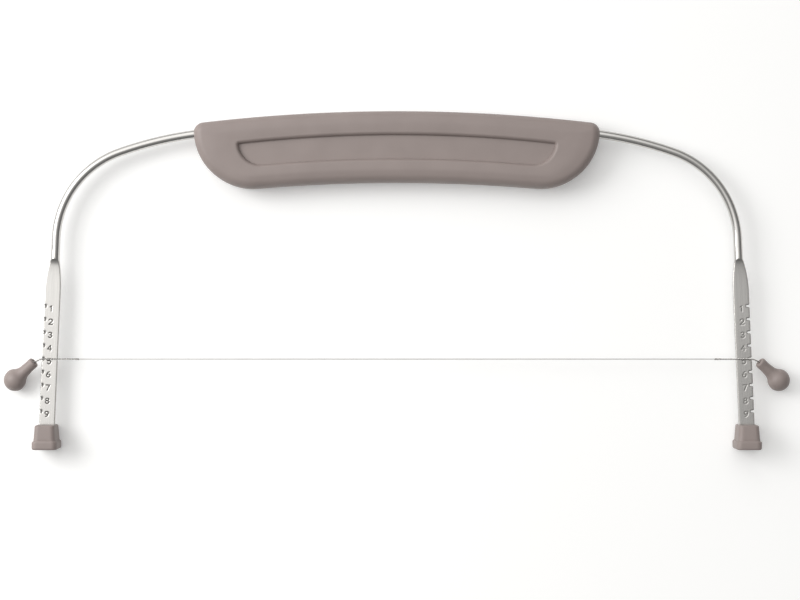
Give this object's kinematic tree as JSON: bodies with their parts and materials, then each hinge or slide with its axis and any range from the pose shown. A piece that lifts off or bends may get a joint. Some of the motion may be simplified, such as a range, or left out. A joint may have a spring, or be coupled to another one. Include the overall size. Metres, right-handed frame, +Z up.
{
  "type": "cake leveler",
  "caption": "Bow-shaped cake leveler: a bent steel bar with notched, numbered arms, a moulded grip and feet, and a cutting wire that moves from notch to notch by its pull knobs.",
  "frame": {"origin": "middle of the object's footprint on the table it lies on, halfway between the soles and the top of the grip", "axes": "+Z up from the table, towards the grip's front face; +X to the right with the grip at the top; +Y from the feet to the grip"},
  "size_m": [0.3586, 0.1535, 0.015],
  "materials": {
    "taupe_plastic": "fine matte moulded texture, warm grey-brown",
    "polished_bar_steel": "satin to polished stainless bar, pressed flat on the arms",
    "wire_steel": "bright drawn stainless wire",
    "crimp_metal": "plain crimped sleeve, hidden in the knob"
  },
  "bodies": {
    "bow": {"bow_frame": "polished_bar_steel", "front_grip_shell": "taupe_plastic", "back_grip_shell": "taupe_plastic", "left_foot": "taupe_plastic", "right_foot": "taupe_plastic"},
    "wire": {"cutting_wire": "wire_steel", "left_wire_twist": "wire_steel", "right_wire_twist": "wire_steel"},
    "left_puller": {"left_knob": "taupe_plastic", "left_wire_tail": "wire_steel", "left_crimp": "crimp_metal"},
    "right_puller": {"right_knob": "taupe_plastic", "right_wire_tail": "wire_steel", "right_crimp": "crimp_metal"}
  },
  "joints": [
    {"name": "wire_height", "type": "slide", "parent": "bow", "child": "wire", "axis": [0, 1, 0], "range_m": [-0.024, 0.024], "deforming": ["left_wire_twist", "right_wire_twist"]},
    {"name": "left_knob_swing", "type": "hinge", "parent": "wire", "child": "left_puller", "pos_m": [-0.16295, -0.0363, 0.00795], "axis": [0, 0, -1], "range_deg": [-8, 50]},
    {"name": "right_knob_swing", "type": "hinge", "parent": "wire", "child": "right_puller", "pos_m": [0.16295, -0.0363, 0.00795], "axis": [0, 0, 1], "range_deg": [-8, 50]}
  ]
}
